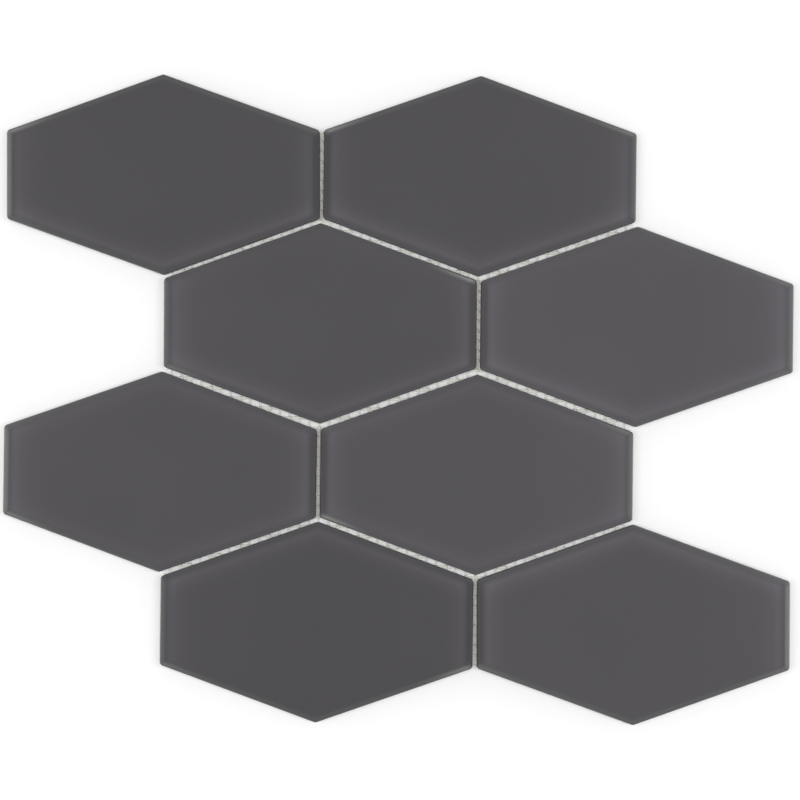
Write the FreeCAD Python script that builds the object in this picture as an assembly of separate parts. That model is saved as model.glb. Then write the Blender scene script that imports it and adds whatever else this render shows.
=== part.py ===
import FreeCAD, Part
import math
import os

# A sheet of picket tile: long hexagons of back-painted, satin-etched glass, laid with their
# points up and down in staggered rows and held at their joints' width by a sheet of
# fibreglass mesh glued to their backs. The sheet lies flat on its mesh, face up.
# The origin is in the middle of the underside, +X runs along the rows and +Y across them.

# Driving dimensions, in millimetres
tile_width = 118.6  # across the two upright sides
tile_height = 76.1  # from point to point, before the corners are rounded
upright_side = 33.5  # length of an upright side, before the corners are rounded
glass_thickness = 8.0
corner_radius = 1.5  # rounded corners of the tile's outline
face_edge_radius = 1.2  # soft edge round the face
back_chamfer = 0.4  # ground edge round the painted back

# the rows from the back, each with its tiles and how much each was laid out of true by hand:
# its turn anticlockwise in degrees, and its shift to the right and to the back
rows = [
    {"left": (0.5, 0.15, -0.35), "right": (-0.2, 0.2, 0.1)},
    {"left": (0.2, 0.15, 0.25), "right": (-0.1, 0.25, 0.0)},
    {"left": (-0.3, -0.15, 0.05), "right": (-0.1, -0.1, -0.1)},
    {"left": (-0.2, -0.25, 0.0), "right": (0.2, -0.1, 0.05)},
]
upright_joint = 1.4  # between the upright sides of two tiles in a row
sloped_joint = 1.9  # between the sloped sides of tiles in two rows, square to them

yarn_spacing = 3.75  # from yarn to yarn, both ways
warp_width = 1.3  # two strands side by side; the warp runs across the rows, under the weft
weft_width = 1.2
yarn_thickness = 0.25
mesh_trim = 0.25  # how far the cut mesh stays inside the tiles that it holds

# What follows from them
slope = math.atan2((tile_height - upright_side) / 2, tile_width / 2)
column_pitch = tile_width + upright_joint
cell_height = tile_height + sloped_joint / math.cos(slope)
row_pitch = cell_height - column_pitch / 2 * math.tan(slope)
mesh_thickness = 2 * yarn_thickness
joint_reach = max(upright_joint, sloped_joint)

sharp_joins = 2  # the way of offsetting an outline that keeps its corners
closeness = 1e-6
right = FreeCAD.Vector(1, 0, 0)
back = FreeCAD.Vector(0, 1, 0)
up = FreeCAD.Vector(0, 0, 1)


def hexagon(width, height):
    """A long hexagon on the ground plane, as a face, with two upright sides and the tiles' slope."""
    side = height / 2 - width / 2 * math.tan(slope)
    corners = [(0, height / 2), (width / 2, side), (width / 2, -side)]
    corners += [(-x, -y) for x, y in corners]
    points = [FreeCAD.Vector(x, y, 0) for x, y in corners]
    return Part.Face(Part.makePolygon(points + points[:1]))


def place_of(row, column, laid):
    """Where a tile lies: row 0 is at the back, and each odd row lies half a tile further right."""
    turn, shift_right, shift_back = laid
    stagger = column_pitch / 2 * (row % 2 - 1 / 2)
    x = (column - (len(rows[row]) - 1) / 2) * column_pitch + stagger + shift_right
    y = ((len(rows) - 1) / 2 - row) * row_pitch + shift_back
    return FreeCAD.Placement(right * x + back * y, FreeCAD.Rotation(up, turn))


def edges_at(shape, height):
    """The edges that lie in the level plane at this height."""
    boxes = [(edge, edge.BoundBox) for edge in shape.Edges]
    return [edge for edge, box in boxes if box.ZLength < closeness and abs(box.ZMin - height) < closeness]


def glass_tile():
    """One tile with its back on the ground plane and its centre at the origin."""
    slab = hexagon(tile_width, tile_height).extrude(up * glass_thickness)
    upright_edges = [edge for edge in slab.Edges if edge.BoundBox.ZLength > closeness]
    slab = slab.makeFillet(corner_radius, upright_edges)
    slab = slab.makeFillet(face_edge_radius, edges_at(slab, glass_thickness))
    return slab.makeChamfer(back_chamfer, edges_at(slab, 0))


def mesh_outline(places):
    """The cut mesh's outline, as one face: the tiles' outlines with the joints between them filled."""
    grown = hexagon(tile_width + 2 * joint_reach, tile_height + 2 * joint_reach / math.cos(slope))
    covers = [grown.transformed(place.Matrix) for place in places]
    field = covers[0].multiFuse(covers[1:]).removeSplitter().Faces[0]
    return field.makeOffset2D(-joint_reach - mesh_trim, sharp_joins)


def yarns(blank, along, across, width, height):
    """The mesh's yarns in one direction: flat bars at even spacing, cut off by the mesh's outline."""
    reach = blank.BoundBox.DiagonalLength
    count = int(reach / 2 / yarn_spacing)
    size = along * reach + across * width
    bars = []
    for step in range(-count, count + 1):
        start = across * (step * yarn_spacing) - size / 2 + up * height
        bars.append(Part.makeBox(size.x, size.y, yarn_thickness, start))
    cut = []
    for run in blank.common(bars).Solids:
        extent = FreeCAD.Vector(run.BoundBox.XLength, run.BoundBox.YLength, 0)
        # a shaving, or an end shorter than one opening, is held by nothing and drops out
        if extent.dot(across) > width / 2 and extent.dot(along) > yarn_spacing:
            cut.append(run)
    return Part.makeCompound(cut)


def main():
    os.makedirs("parts", exist_ok=True)
    tile = glass_tile()
    places = []
    for row, tiles in enumerate(rows):
        for column, (side, laid) in enumerate(tiles.items()):
            place = place_of(row, column, laid)
            places.append(place)
            seated = tile.transformed(place.Matrix).translated(up * mesh_thickness)
            seated.exportStep(f"parts/glass_tile_row_{row + 1}_{side}.step")
    blank = mesh_outline(places).extrude(up * mesh_thickness)
    yarns(blank, back, right, warp_width, 0).exportStep("parts/mesh_warp_yarns.step")
    yarns(blank, right, back, weft_width, yarn_thickness).exportStep("parts/mesh_weft_yarns.step")


main()
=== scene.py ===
import bpy
import bmesh
import math
import random
from mathutils import Matrix, Vector


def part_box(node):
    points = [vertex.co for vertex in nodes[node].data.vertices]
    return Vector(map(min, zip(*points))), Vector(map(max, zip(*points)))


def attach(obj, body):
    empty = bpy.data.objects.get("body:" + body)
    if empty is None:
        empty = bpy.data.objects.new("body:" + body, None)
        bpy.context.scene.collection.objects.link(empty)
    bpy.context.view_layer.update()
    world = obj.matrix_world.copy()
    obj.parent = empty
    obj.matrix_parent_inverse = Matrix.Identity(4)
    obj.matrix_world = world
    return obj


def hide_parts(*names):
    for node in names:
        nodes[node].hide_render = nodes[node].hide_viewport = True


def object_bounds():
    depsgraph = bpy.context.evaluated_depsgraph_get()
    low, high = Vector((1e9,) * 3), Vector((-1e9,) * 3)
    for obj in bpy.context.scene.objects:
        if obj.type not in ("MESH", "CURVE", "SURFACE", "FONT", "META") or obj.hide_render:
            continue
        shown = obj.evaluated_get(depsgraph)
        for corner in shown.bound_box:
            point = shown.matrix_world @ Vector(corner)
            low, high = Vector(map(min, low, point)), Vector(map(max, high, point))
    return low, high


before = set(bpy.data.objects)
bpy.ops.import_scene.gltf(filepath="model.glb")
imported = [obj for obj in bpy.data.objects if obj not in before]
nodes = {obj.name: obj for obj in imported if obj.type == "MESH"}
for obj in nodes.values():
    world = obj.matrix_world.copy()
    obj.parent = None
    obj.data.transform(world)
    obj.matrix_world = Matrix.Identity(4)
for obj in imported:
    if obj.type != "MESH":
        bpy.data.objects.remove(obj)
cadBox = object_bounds()
mm = 0.001
up = Vector((0, 0, 1))
print("frame loaded with", len(nodes), "nodes")


# finishes: sums on signals add their own Math nodes, every other node comes from Finish.node
class Signal:
    def __init__(self, finish, socket):
        self.finish = finish
        self.socket = socket

    def __add__(self, other):
        return self.finish.maths("ADD", self, other)

    def __sub__(self, other):
        return self.finish.maths("SUBTRACT", self, other)

    def __rsub__(self, other):
        return self.finish.maths("SUBTRACT", other, self)

    def __mul__(self, other):
        return self.finish.maths("MULTIPLY", self, other)

    def __truediv__(self, other):
        return self.finish.maths("DIVIDE", self, other)

    def __abs__(self):
        return self.finish.maths("ABSOLUTE", self)

    __radd__ = __add__
    __rmul__ = __mul__


class Finish:
    def __init__(self, owner, output="OutputMaterial"):  # a new material, or the world
        self.owner = owner
        owner.use_nodes = True
        self.tree = owner.node_tree
        self.tree.nodes.clear()
        self.output = self.tree.nodes.new("ShaderNode" + output)

    def node(self, kind, settings, values, output=0):
        made = self.tree.nodes.new("ShaderNode" + kind)
        for name, value in settings.items():
            if name == "stops":
                self.setStops(made.color_ramp, value)
            else:
                setattr(made, name, value)
        for name, value in values.items():
            if isinstance(value, Signal):
                self.tree.links.new(value.socket, made.inputs[name])
            else:
                made.inputs[name].default_value = value
        return Signal(self, made.outputs[output])

    def setStops(self, ramp, stops):
        ramp.interpolation = "EASE"
        while len(ramp.elements) < len(stops):
            ramp.elements.new(1)
        for element, (place, level) in zip(ramp.elements, stops):
            element.position = place
            element.color = (level, level, level, 1)

    def maths(self, operation, *values):
        return self.node("Math", {"operation": operation}, dict(enumerate(values)))

    def lower(self, first, second):
        return self.maths("MINIMUM", first, second)

    def between(self, share, first, second):  # first where the share is 0, second where it is 1
        return first + share * (second - first)

    def step(self, signal, start, end):  # 0 at start, 1 at end, and smooth between them
        ranges = {"Value": signal, "From Min": start, "From Max": end}
        return self.node("MapRange", {"interpolation_type": "SMOOTHSTEP"}, ranges)

    def profile(self, signal, stops):
        return self.node("ValToRGB", {"stops": stops}, {0: signal})

    def blend(self, factor, first, second):  # of two colours
        return self.node("Mix", {"data_type": "RGBA"}, {0: factor, 6: first, 7: second}, 2)

    def mix(self, share, first, second):  # of two vectors
        return self.node("Mix", {"data_type": "VECTOR"}, {0: share, 4: first, 5: second}, 1)

    def shade(self, colour, light):  # a colour made lighter or darker
        return self.node("VectorMath", {"operation": "SCALE"}, {0: colour, "Scale": light})

    def parts(self, vector):
        split = self.node("SeparateXYZ", {}, {0: vector})
        return [Signal(self, socket) for socket in split.socket.node.outputs]

    def noise(self, place, scale, detail=2, stretch=(1, 1, 1)):
        where = self.node("Mapping", {}, {"Vector": place, "Scale": stretch})
        return self.node("TexNoise", {}, {"Vector": where, "Scale": scale, "Detail": detail})

    def objectPlace(self):
        return self.node("TexCoord", {}, {}, "Object")

    def attribute(self, name):
        return self.node("Attribute", {"attribute_name": name}, {}, "Vector")

    def bump(self, height, strength, distance):
        return self.node("Bump", {}, {"Strength": strength, "Distance": distance, "Height": height})

    def seen(self):  # 1 where the camera or a reflection looks, 0 where light is gathered
        rays = self.node("LightPath", {}, {}).socket.node.outputs
        looking = [Signal(self, rays[name]) for name in ("Is Camera Ray", "Is Glossy Ray")]
        return self.maths("MAXIMUM", *looking)

    def close(self, kind, values):
        shader = self.node(kind, {}, values)
        self.tree.links.new(shader.socket, self.output.inputs["Surface"])

    def surface(self, values):
        self.close("BsdfPrincipled", values)
        return self.owner


def newFinish(name):
    return Finish(bpy.data.materials.new(name))


def makeObject(name, bm, finishes):
    mesh = bpy.data.meshes.new(name)
    bm.to_mesh(mesh)
    bm.free()
    for finish in finishes:
        mesh.materials.append(finish)
    made = bpy.data.objects.new(name, mesh)
    bpy.context.scene.collection.objects.link(made)
    return made


def makePiece(name, bm, finishes, replaced):
    piece = makeObject(name, bm, finishes)
    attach(piece, "root")
    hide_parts(replaced)


# one picket tile, in millimetres as in the CAD
tile = {
    "width": 118.6,  # across the upright sides
    "height": 76.1,  # from point to point, before its corners are rounded
    "uprightSide": 33.5,
    "thickness": 8.0,
    "cornerRadius": 1.5,
    "faceEdge": 1.2,
    "backChamfer": 0.4,
    "flats": {"points": 5, "shoulders": 6, "faceEdge": 8, "backEdge": 1},  # to each rounding
    "broad": 60,  # a face of more square millimetres is shaded flat, with a narrow margin
    "margin": 0.2,
    "columnPitch": 120.0,  # from tile to tile in a row
    "rowPitch": 56.6,  # from row to row
    "astray": 8.0,  # a neighbour lies within this of where the two pitches put it
    "notch": 0.6,  # how open a sloped side is where the sheet's stagger leaves a tile out
    "tones": {  # how much lighter or darker each tile's face is made
        "row_1_left": 0.87, "row_1_right": 0.94, "row_2_left": 0.98, "row_2_right": 1.2,
        "row_3_left": 1.03, "row_3_right": 1.1, "row_4_left": 0.83, "row_4_right": 1.05,
    },
    "glows": {  # how much painted glow stands for the light that comes in by a row's sloped sides, the lower and the upper ones
        "row_1": (1, 0), "row_2": (0.8, 0.2), "row_3": (0.4, 0.45), "row_4": (0, 0.95),
    },
    "paintedRims": {  # how pale the painted highlight on the soft edge is along each tile's outer upright side
        "row_1_left": 1.2, "row_1_right": 0.5, "row_2_left": 0.5, "row_2_right": 0.75,
        "row_3_left": 1.25, "row_3_right": 0.7, "row_4_left": 0.5, "row_4_right": 1.5,
    },
    "glints": {  # how bright the painted glints on the soft edge are by the shoulders: upper left, right, lower left, right
        "row_1_left": (0.75, 0.1, 0.12, 0), "row_1_right": (0.75, 0.55, 0, 0),
        "row_2_left": (0, 0.95, 0.4, 0), "row_2_right": (0, 0.35, 0, 0.2),
        "row_3_left": (0.1, 0, 0.5, 0), "row_3_right": (0.1, 0.45, 0.85, 0),
        "row_4_left": (0, 0, 0.3, 0.6), "row_4_right": (0, 0.15, 0.2, 0.25),
    },
}
slope = math.atan2(tile["height"] - tile["uprightSide"], tile["width"])


def shapeTile():
    bm = bmesh.new()
    bmesh.ops.create_circle(bm, cap_ends=True, segments=6, radius=1)  # its first corner is at the back
    reach = Vector((tile["width"] / 2 / math.cos(math.radians(30)), tile["height"] / 2, 1))
    bmesh.ops.scale(bm, vec=reach, verts=bm.verts)
    sideCorners = [v for v in bm.verts if abs(v.co.x) > 1]
    bmesh.ops.scale(bm, vec=(1, 2 * tile["uprightSide"] / tile["height"], 1), verts=sideCorners)
    lifted = bmesh.ops.extrude_face_region(bm, geom=bm.faces[:])["geom"]
    topCorners = [part for part in lifted if isinstance(part, bmesh.types.BMVert)]
    bmesh.ops.translate(bm, vec=up * tile["thickness"], verts=topCorners)
    bmesh.ops.recalc_face_normals(bm, faces=bm.faces)
    uprights = [e for e in bm.edges if abs(e.verts[0].co.z - e.verts[1].co.z) > 1]
    points = [e for e in uprights if abs(e.verts[0].co.x) < 1]
    shoulders = [e for e in uprights if abs(e.verts[0].co.x) > 1]
    flats, radius = tile["flats"], tile["cornerRadius"]
    softenEdges(bm, points, radius * math.tan(slope), flats["points"])
    softenEdges(bm, shoulders, radius * math.tan(math.pi / 4 - slope / 2), flats["shoulders"])
    softenEdges(bm, edgesAt(bm, tile["thickness"]), tile["faceEdge"], flats["faceEdge"])
    softenEdges(bm, edgesAt(bm, 0), tile["backChamfer"], flats["backEdge"])
    broad = [f for f in bm.faces if f.calc_area() > tile["broad"]]
    bmesh.ops.inset_individual(bm, faces=broad, thickness=tile["margin"], use_even_offset=True)
    for face in bm.faces:
        face.smooth = face not in broad
        face.material_index = 1 if face.calc_center_median().z < tile["backChamfer"] * 0.9 else 0
    return bm


def edgesAt(bm, height):
    return [e for e in bm.edges if all(abs(v.co.z - height) < 0.001 for v in e.verts)]


def softenEdges(bm, edges, offset, segments):
    settings = {"offset_type": "OFFSET", "affect": "EDGES", "profile": 0.5, "material": -1}
    bmesh.ops.bevel(bm, geom=edges, offset=offset, segments=segments, clamp_overlap=True, **settings)


def layOf(name):  # a tile's middle in millimetres, and its turn, from its CAD solid
    low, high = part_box(name)
    walls = [p for p in nodes[name].data.polygons if p.normal.x > 0.99]
    broadest = max(walls, key=lambda wall: wall.area)
    return (low + high) / 2 / mm, math.atan2(broadest.normal.y, broadest.normal.x)


# how open a side is: 0 where it makes a joint with the tile at this place, 1 at the sheet's edge
def openness(place, middles):
    if min((place - other).length for other in middles) < tile["astray"]:
        return 0
    rowEnds = [other for other in middles if abs(other.y - place.y) < tile["astray"]]
    return tile["notch"] if rowEnds else 1


def openSides(middle, middles):  # the upright, the upper and the lower side, on the left and on the right
    found = []
    for across in (-1, 1):
        x, y = across * tile["columnPitch"] / 2, tile["rowPitch"]
        beside = [middle + Vector(step) for step in ((2 * x, 0, 0), (x, y, 0), (x, -y, 0))]
        upright, upper, lower = [openness(place, middles) for place in beside]
        found.append(Vector((math.ceil(upright), upper, lower)))
    return found


def layTile(name, shaped, middle, turn, opened, finishes):
    bm = shaped.copy()
    plan = bm.loops.layers.uv.new("tilePlan")  # millimetres from the tile's middle
    which = name.removeprefix("glass_tile_")
    row = which[:len("row_1")]
    glints = tile["glints"][which]
    # each tile's openness, its tone, and the amounts of its painted glow, painted rim highlight and painted
    # glints
    looks = {
        "openLeft": opened[0],
        "openRight": opened[1],
        "glintsAbove": Vector((*glints[:2], 0)),
        "glintsBelow": Vector((*glints[2:], 0)),
        "rim": Vector((tile["paintedRims"][which], 0, 0)),
        "paintLook": Vector((tile["tones"][which], *tile["glows"][row])),
    }
    for look, value in looks.items():
        layer = bm.verts.layers.float_vector.new(look)
        for vert in bm.verts:
            vert[layer] = value
    for vert in bm.verts:
        for loop in vert.link_loops:
            loop[plan].uv = vert.co.xy
    place = Matrix.Translation((middle.x, middle.y, middle.z - tile["thickness"] / 2))
    laid = Matrix.Scale(mm, 4) @ place @ Matrix.Rotation(turn, 4, "Z")
    bmesh.ops.transform(bm, matrix=laid, verts=bm.verts)
    makePiece("picket_" + name, bm, finishes, name)


# the glass: the profiles run from a side (0) to its reach in millimetres (1), and those of the painted rims
# and glints to slopedReach on every side; the glow, shade, rims and glints are painted light in the base
# colour
glass = {
    "paint": (0.0474, 0.0446, 0.0497),  # the back coat as it shows through the etched face
    "clouds": 0.2,
    "backCoat": (0.036, 0.034, 0.038),
    "groundSide": (0.21, 0.225, 0.21),
    "sideShade": 0.65,  # the ground sides are darker from outside than through the soft edge
    "sawnMarks": 0.3,
    "slopedGlow": 0.5,  # painted glow, standing in for light that entered by the sides
    "uprightGlow": (0.34, 0.39),  # painted glow in a joint and at the sheet's edge
    "slopedReach": 12,  # how far in it shows
    "uprightReach": 16,
    "glowProfile": [(0.09, 0), (0.28, 1), (0.45, 0.5), (0.7, 0.12), (1, 0)],
    "spread": 0.11,  # painted light: what of the light at the sheet's ends goes further in
    "spreadReach": 45,
    "uprightShade": 0.3,  # painted shade along an upright joint
    "shadeProfile": [(0, 1), (0.13, 0.9), (0.2, 0)],
    "paintedJointRim": 0.6,  # painted highlight: the soft edge is paler where light enters by it
    "jointRimProfile": [(0, 1), (0.03, 1), (0.08, 0)],
    "paintedOpenRim": (0.11, 0.37),  # the same painted highlight at the sheet's edge, along the sloped and the upright sides
    "openRimProfile": [(0, 0.2), (0.05, 0.75), (0.09, 1), (0.13, 0.7), (0.19, 0)],
    # the colour of the painted glints
    "glint": (0.23, 0.228, 0.215, 1),
    "glintReach": 22,  # how far it runs along a sloped side from the shoulder
    "glintProfile": [(0.015, 0), (0.06, 1), (0.2, 0)],
    "roughness": 0.45,
    "wear": 0.08,
}


def satinGlass():
    f = newFinish("satinGlass")
    place = f.objectPlace()
    x, y, _ = f.parts(f.node("UVMap", {"uv_map": "tilePlan"}, {}))
    fromUpright = tile["width"] / 2 - abs(x)
    fromSloped = (tile["height"] / 2 - abs(y) - abs(x) * math.tan(slope)) * math.cos(slope)
    depth = f.lower(fromUpright, fromSloped)
    edgeDepth = depth / glass["slopedReach"]

    # how open the nearest side is: a joint lets little light into the glass
    toRight, toBack = f.step(x, -4, 4), f.step(y, -4, 4)
    openHalf = f.mix(toRight, f.attribute("openLeft"), f.attribute("openRight"))
    upright, upper, lower = f.parts(openHalf)
    sloped = f.between(toBack, lower, upper)
    isUpright = f.step(fromSloped - fromUpright, -1.5, 1.5)
    opened = f.between(isUpright, sloped, upright)

    # each side's painted glow runs along it as a streak, almost up to the next side
    # each tile's tone, and its painted glow by the lower and the upper sloped sides
    tone, glowBelow, glowAbove = f.parts(f.attribute("paintLook"))
    uprightDepth = fromUpright / glass["uprightReach"]
    slopedDepth = fromSloped / glass["slopedReach"]
    uprightGlow = f.between(upright, *glass["uprightGlow"]) * f.step(fromSloped, 0, 4)
    slopedGlow = f.between(toBack, glowBelow, glowAbove) * glass["slopedGlow"] * f.step(fromUpright, 0, 6)
    glowing = f.profile(uprightDepth, glass["glowProfile"]) * uprightGlow
    glowing += f.profile(slopedDepth, glass["glowProfile"]) * slopedGlow
    spread = f.step(fromUpright, glass["spreadReach"], 0) * upright * glass["spread"]

    # painted shade: in a joint the upright sides are darker, and the sloped ones have a painted pale rim
    shade = f.profile(uprightDepth, glass["shadeProfile"]) * (1 - opened) * isUpright
    paintedJointRim = f.profile(edgeDepth, glass["jointRimProfile"]) * (1 - opened) * (1 - isUpright)
    clouds = (f.noise(place, 22, 3) - 0.5) * glass["clouds"]
    # the painted glow, rims and shade scale the paint's colour
    light = 1 + glowing + spread + paintedJointRim * glass["paintedJointRim"] - shade * glass["uprightShade"]
    paint = f.shade(glass["paint"], light * (1 + clouds) * tone)

    # painted highlight: at the sheet's edge the soft edge shows the ground side through the glass
    rim, _, _ = f.parts(f.attribute("rim"))
    slopedRim, uprightRim = glass["paintedOpenRim"]
    paintedOpenRim = f.profile(edgeDepth, glass["openRimProfile"]) * opened
    entering = paintedOpenRim * f.between(isUpright, slopedRim, rim * uprightRim)
    sawnMarks = (f.noise(place, 600, 3, (1, 1, 0.15)) - 0.5) * glass["sawnMarks"]
    groundSide = f.shade(glass["groundSide"], 1 + sawnMarks)
    edged = f.blend(entering, paint, groundSide)

    # painted glints along the soft edge of the sloped sides, by the shoulders
    glints = f.mix(toBack, f.attribute("glintsBelow"), f.attribute("glintsAbove"))
    glintLeft, glintRight, _ = f.parts(glints)
    streak = f.profile(edgeDepth, glass["glintProfile"]) * f.step(abs(y), 8, 12)
    bright = f.between(toRight, glintLeft, glintRight) * f.step(fromUpright, glass["glintReach"], -4)
    glinted = f.blend(streak * bright * (1 - isUpright), edged, glass["glint"])
    colour = f.blend(f.step(depth, 0.3, 0), glinted, f.shade(groundSide, glass["sideShade"]))

    grain = f.noise(place, 5200, 2)
    wear = (f.noise(place, 90, 3) - 0.5) * glass["wear"]
    return f.surface({
        "Base Color": colour,
        "Roughness": glass["roughness"] + wear,
        "IOR": 1.5,
        "Normal": f.bump(grain, 0.12, 0.00003),
    })


def backPaint():
    f = newFinish("backPaint")
    place = f.objectPlace()
    clouds = f.noise(place, 60, 4)
    orangePeel = f.noise(place, 900, 2)
    return f.surface({
        "Base Color": f.shade(glass["backCoat"], 0.8 + clouds * 0.4),
        "Roughness": 0.5 + clouds * 0.2,
        "Normal": f.bump(orangePeel, 0.25, 0.0001),
    })


tileNames = sorted(name for name in nodes if name.startswith("glass_tile"))
lays = {name: layOf(name) for name in tileNames}
middles = [middle for middle, turn in lays.values()]
tileShape = shapeTile()
tileFinishes = [satinGlass(), backPaint()]
for name, (middle, turn) in lays.items():
    opened = openSides(middle, middles)
    layTile(name, tileShape, middle, turn, opened, tileFinishes)
    print(name, "laid, turned", round(math.degrees(turn), 2), "degrees, open", opened)


# the mesh's yarns in millimetres: the warp is pairs of strands that pass over and under the flat weft
yarn = {
    "spacing": 3.75,
    "middleHeight": 0.25,  # the mesh lies on the floor, half a millimetre thick
    "strandOffset": 0.33,
    "strandWidth": 0.6,
    "strandThickness": 0.24,
    "strandRise": 0.12,  # where it passes over the weft
    "weftWidth": 1.2,
    "weftThickness": 0.18,
    "weftPinch": 0.84,  # its width where the strands grip it
    "wander": 0.15,  # how far a yarn lies out of its place
    "coat": (0.93, 0.92, 0.868),
    "paintedCrossingShade": 0.42,  # painted shade: how much darker it is where it comes out from under another
}


# each yarn of a CAD node: its middle, and the planes that cut off its two ends
def cadRuns(name, along):
    bm = bmesh.new()
    bm.from_mesh(nodes[name].data)
    bmesh.ops.scale(bm, vec=(1 / mm, 1 / mm, 1 / mm), verts=bm.verts)
    bmesh.ops.remove_doubles(bm, verts=bm.verts, dist=0.001)
    runs = []
    for first in bm.faces:
        if first.tag:
            continue
        run = grownFrom(first)
        corners = [v.co for v in dict.fromkeys(v for face in run for v in face.verts)]
        places = [along.dot(corner) for corner in corners]
        start, end = min(places), max(places)
        middle = sum(corners, Vector()) / len(corners)
        cuts = {}
        for face in run:
            facing = face.normal.dot(along)
            centre = face.calc_center_median()
            atEnd = min(along.dot(centre) - start, end - along.dot(centre)) < yarn["spacing"]
            if abs(facing) > 0.1 and atEnd:
                plane = (*face.normal, centre.dot(face.normal))
                cuts[tuple(round(part, 2) for part in plane)] = (centre, face.normal.copy())
        runs.append((middle, list(cuts.values())))
    bm.free()
    return runs


def grownFrom(first):  # all the faces that hang together with the first, which get a tag
    first.tag = True
    run = [first]
    for face in run:
        for side in face.edges:
            for other in side.link_faces:
                if not other.tag:
                    other.tag = True
                    run.append(other)
    return run


# a straight run with a ring of corners at each crossing and midway between two
def straightYarn(bm, along, length, across, sides):
    steps = 2 * math.ceil(length / yarn["spacing"])
    start = along * (-steps / 4 * yarn["spacing"])
    turned = up.rotation_difference(along).to_matrix().to_4x4()
    place = Matrix.Translation(start) @ turned
    ring = bmesh.ops.create_circle(bm, segments=sides, radius=0.5, matrix=place)["verts"]
    edges = dict.fromkeys(e for v in ring for e in v.link_edges)
    bmesh.ops.spin(bm, geom=list(edges), steps=steps, angle=0, axis=along, dvec=along * yarn["spacing"] / 2)
    grown = [v for v in bm.verts if not v.tag]
    bmesh.ops.scale(bm, vec=across + along, verts=grown)
    return grown


def crossingsOf(verts, along, every, first):
    places = [(v, round(along.dot(v.co) / yarn["spacing"] * 2)) for v in verts]
    return [v for v, place in places if place % (2 * every) == 2 * first]


def warpPair(length):
    bm = bmesh.new()
    along = Vector((0, 1, 0))
    for side in (-1, 1):
        across = Vector((yarn["strandWidth"], 0, yarn["strandThickness"]))
        strand = straightYarn(bm, along, length, across, 6)
        rise = up * side * yarn["strandRise"]
        bmesh.ops.translate(bm, vec=rise, verts=crossingsOf(strand, along, 2, 0))
        bmesh.ops.translate(bm, vec=-rise, verts=crossingsOf(strand, along, 2, 1))
        bmesh.ops.translate(bm, vec=(side * yarn["strandOffset"], 0, 0), verts=strand)
        for vert in strand:
            vert.tag = True
    return bm


def flatWeft(length):
    bm = bmesh.new()
    along = Vector((1, 0, 0))
    straightYarn(bm, along, length, Vector((0, yarn["weftWidth"], yarn["weftThickness"])), 8)
    pinch = yarn["weftPinch"]
    bmesh.ops.scale(bm, vec=(1, pinch, 1), verts=crossingsOf(bm.verts, along, 1, 0))
    return bm


# all the yarns of one direction as one piece: copies of the shaped yarn, cut off as in the CAD
def weave(name, shaped, runs, across, finish, replaced):
    woven = bmesh.new()
    for middle, cuts in runs:
        bm = shaped.copy()
        aside = across.dot(middle) + random.uniform(-yarn["wander"], yarn["wander"])
        place = across * aside + up * yarn["middleHeight"]
        bmesh.ops.translate(bm, vec=place, verts=bm.verts)
        for point, normal in cuts:
            whole = bm.verts[:] + bm.edges[:] + bm.faces[:]
            bmesh.ops.bisect_plane(bm, geom=whole, plane_co=point, plane_no=normal, clear_outer=True)
            bmesh.ops.holes_fill(bm, edges=[e for e in bm.edges if e.is_boundary])
        loose = bpy.data.meshes.new("loose")
        bm.to_mesh(loose)
        bm.free()
        woven.from_mesh(loose)
        bpy.data.meshes.remove(loose)
    bmesh.ops.recalc_face_normals(woven, faces=woven.faces)
    for face in woven.faces:
        face.smooth = True
    bmesh.ops.scale(woven, vec=(mm, mm, mm), verts=woven.verts)
    makePiece(name, woven, [finish], replaced)


def coatedYarn(name, axis, stretch):
    f = newFinish(name)
    place = f.objectPlace()
    fibres = f.noise(place, 9000, 2, stretch)
    patches = f.noise(place, 500, 3)
    along = f.parts(place)[axis] / mm - yarn["weftWidth"] / 2
    fromCrossing = f.maths("PINGPONG", along, yarn["spacing"] / 2)
    # painted shade where a yarn comes out from under a crossing one
    paintedCrossingShade = f.profile(fromCrossing / yarn["spacing"], [(0, 1), (0.02, 0.9), (0.08, 0)])
    light = 0.8 + fibres * 0.16 + patches * 0.24 - paintedCrossingShade * yarn["paintedCrossingShade"]
    return f.surface({
        "Base Color": f.shade(yarn["coat"], light),
        "Roughness": 0.5 + patches * 0.2,
        "Normal": f.bump(fibres, 0.4, 0.00005),
    })


sheetSize = (Vector(cadBox[1]) - Vector(cadBox[0])) / mm
random.seed(8)
right, back = Vector((1, 0, 0)), Vector((0, 1, 0))
warp = cadRuns("mesh_warp_yarns", back)
weft = cadRuns("mesh_weft_yarns", right)
warpFinish = coatedYarn("warpYarn", 1, (1, 0.03, 1))
weftFinish = coatedYarn("weftYarn", 0, (0.03, 1, 1))
weave("warp_strands", warpPair(sheetSize.y), warp, right, warpFinish, "mesh_warp_yarns")
weave("weft_yarns", flatWeft(sheetSize.x), weft, back, weftFinish, "mesh_weft_yarns")
print("mesh woven with", len(warp), "warp and", len(weft), "weft runs")


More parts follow.
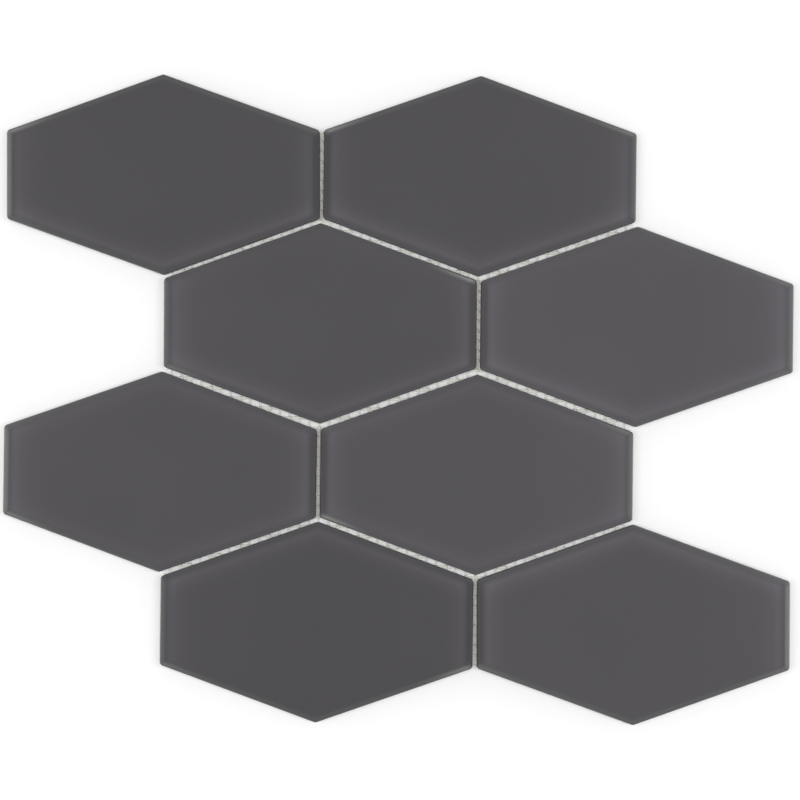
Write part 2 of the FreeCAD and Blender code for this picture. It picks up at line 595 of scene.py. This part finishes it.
# the studio: a softbox at each end of the rows, a lamp overhead, and little light from elsewhere
studio = {
    "tableSize": 4,
    "tableGlow": 0.07,  # holds the white table's shadow back to a faint one
    "ambient": 0.42,
    "softboxes": {"place": (1.5, 0, 0.13), "size": (1.0, 0.22), "power": 6},  # low, at the rows' ends
    "strip": {"place": (0, 0, 2.4), "size": (2.4, 0.3), "power": 26},  # along the rows
    "overhead": {"place": (0, 0, 2.6), "size": (0.35, 0.35), "power": 16},
    "focalLength": 200,
    "pictureWidth": 303.2 * mm,  # at the height of the faces
    "centre": (0.65 * mm, -0.23 * mm),
    "roll": 0.5,  # degrees
}


def layTable():
    f = newFinish("whiteTable")
    finish = f.surface({
        "Base Color": (0.9, 0.9, 0.9, 1),
        "Roughness": 0.9,
        "Specular IOR Level": 0.1,
        "Emission Color": (1, 1, 1, 1),
        "Emission Strength": f.seen() * studio["tableGlow"],
    })
    bm = bmesh.new()
    bmesh.ops.create_grid(bm, x_segments=1, y_segments=1, size=studio["tableSize"])
    makeObject("table", bm, [finish])


def lightRoom():
    world = bpy.data.worlds.new("room")
    bpy.context.scene.world = world
    f = Finish(world, "OutputWorld")
    strength = f.between(f.seen(), studio["ambient"], 1)
    f.close("Background", {"Color": (1, 1, 1, 1), "Strength": strength})


def hangLamp(name, place, size, power):
    data = bpy.data.lights.new(name, "AREA")
    data.shape = "RECTANGLE"
    data.size, data.size_y = size
    data.energy = power
    lamp = bpy.data.objects.new(name, data)
    bpy.context.scene.collection.objects.link(lamp)
    lamp.location = place
    lamp.rotation_euler = Vector(place).to_track_quat("Z", "Y").to_euler()
    lamp.visible_camera = False
    return lamp


def placeCamera():
    data = bpy.data.cameras.new("camera")
    data.lens = studio["focalLength"]
    data.clip_end = 50
    camera = bpy.data.objects.new("camera", data)
    bpy.context.scene.collection.objects.link(camera)
    distance = studio["pictureWidth"] * data.lens / data.sensor_width
    camera.location = (*studio["centre"], cadBox[1][2] + distance)
    camera.rotation_euler = (0, 0, math.radians(studio["roll"]))
    bpy.context.scene.camera = camera


layTable()
lightRoom()
boxes = studio["softboxes"]
for side, name in ((-1, "softbox_left"), (1, "softbox_right")):
    x, y, z = boxes["place"]
    hangLamp(name, (side * x, y, z), boxes["size"], boxes["power"])
for name in ("strip", "overhead"):
    lamp = hangLamp(name, **studio[name])
    lamp.visible_glossy = False
placeCamera()
bpy.context.scene.view_settings.view_transform = "Standard"
print("studio lit")
